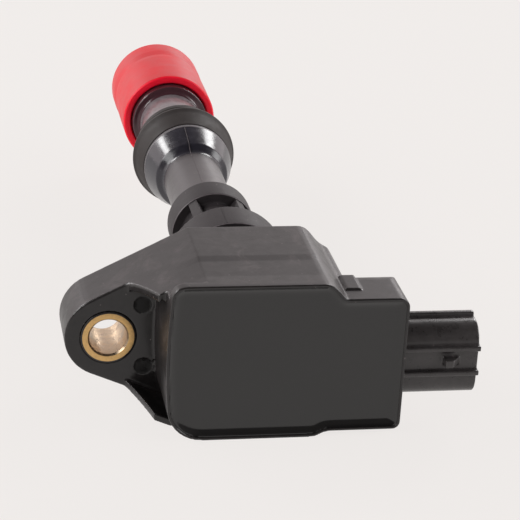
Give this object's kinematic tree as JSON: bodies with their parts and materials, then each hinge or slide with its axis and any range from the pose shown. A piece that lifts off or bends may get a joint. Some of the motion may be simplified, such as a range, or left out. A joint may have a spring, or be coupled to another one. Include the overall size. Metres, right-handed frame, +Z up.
{
  "type": "ignition coil",
  "caption": "Plug-top ignition coil with a potted transformer head, side mounting ear with a metal bush, plug-in socket, long high-voltage tower, well seal and red plug boot.",
  "frame": {"origin": "centre of the bounding box's lower face; the coil lies on the long lower wall of its head", "axes": "+Y along the high-voltage tower, from the potted head to the spark plug; +X from the mounting ear to the connector; +Z up, across the head"},
  "size_m": [0.074, 0.1474, 0.0299],
  "materials": {
    "case_plastic": "satin moulded black",
    "potting_epoxy": "glossy cast resin",
    "tower_plastic": "satin grey-black, polished on the flange",
    "seal_rubber": "matte rubber",
    "boot_silicone": "satin red silicone",
    "brass": "turned, satin",
    "spring_steel": "drawn wire",
    "core_steel": "laminated silicon steel",
    "magnet": "sintered",
    "bobbin_plastic": "natural moulded",
    "primary_copper": "enamelled copper wire",
    "secondary_copper": "fine enamelled copper wire",
    "module_epoxy": "moulded",
    "aluminium": "stamped",
    "tinned_brass": "tin plated",
    "resistor_ceramic": "unglazed ceramic"
  },
  "bodies": {
    "coil_body": {"case": "case_plastic", "potting_compound": "potting_epoxy", "mounting_bush": "brass", "core_outer": "core_steel", "core_center": "core_steel", "bias_magnet": "magnet", "primary_bobbin": "bobbin_plastic", "primary_winding": "primary_copper", "secondary_bobbin": "bobbin_plastic", "secondary_winding_1": "secondary_copper", "secondary_winding_2": "secondary_copper", "secondary_winding_3": "secondary_copper", "secondary_winding_4": "secondary_copper", "secondary_winding_5": "secondary_copper", "igniter_module": "module_epoxy", "igniter_heat_sink": "aluminium", "primary_lead_1": "tinned_brass", "primary_lead_2": "tinned_brass", "connector_pin_1": "tinned_brass", "connector_pin_2": "tinned_brass", "connector_pin_3": "tinned_brass", "hv_tower": "tower_plastic", "hv_terminal": "brass", "noise_resistor": "resistor_ceramic", "resistor_cap_head": "brass", "resistor_cap_plug": "brass", "contact_spring": "spring_steel", "well_seal": "seal_rubber"},
    "spring_contact": {"contact_tip": "brass"},
    "boot": {"plug_boot": "boot_silicone"}
  },
  "joints": [
    {"name": "contact_press", "type": "slide", "parent": "coil_body", "child": "spring_contact", "axis": [0, -1, 0], "range_m": [0, 0.005], "stiffness_N_per_m": 400, "deforming": ["contact_spring"]},
    {"name": "boot_pull", "type": "slide", "parent": "coil_body", "child": "boot", "axis": [0, 1, 0], "range_m": [0, 0.028]}
  ]
}
